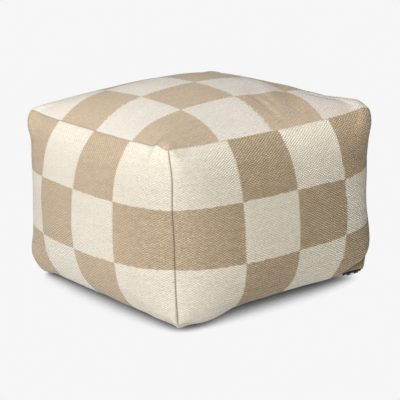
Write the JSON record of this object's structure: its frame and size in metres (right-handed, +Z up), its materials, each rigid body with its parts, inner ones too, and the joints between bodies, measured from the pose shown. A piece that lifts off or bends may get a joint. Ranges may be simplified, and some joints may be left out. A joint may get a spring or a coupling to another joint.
{
  "type": "cube pouf stool",
  "caption": "Filled cube pouf with a flat-woven wool cover in a cream and beige checkerboard, a crowned top, bellied sides and a base zip.",
  "frame": {"origin": "on the floor under the middle of the pouf", "axes": "+Z up; -Y is the front, whose base seam holds the zip at its +X end"},
  "size_m": [0.6106, 0.6108, 0.4114],
  "materials": {
    "wool": "flat-woven wool, matte and slightly fuzzy, in undyed cream and beige checks",
    "zip_tape": "black woven tape with closed black teeth",
    "zip_metal": "dark burnished metal, satin"
  },
  "bodies": {
    "root": {"pouf_body": "wool", "zip_chain": "zip_tape", "zip_slider": "zip_metal", "zip_pull": "zip_metal", "zip_stop": "zip_metal"}
  },
  "joints": []
}
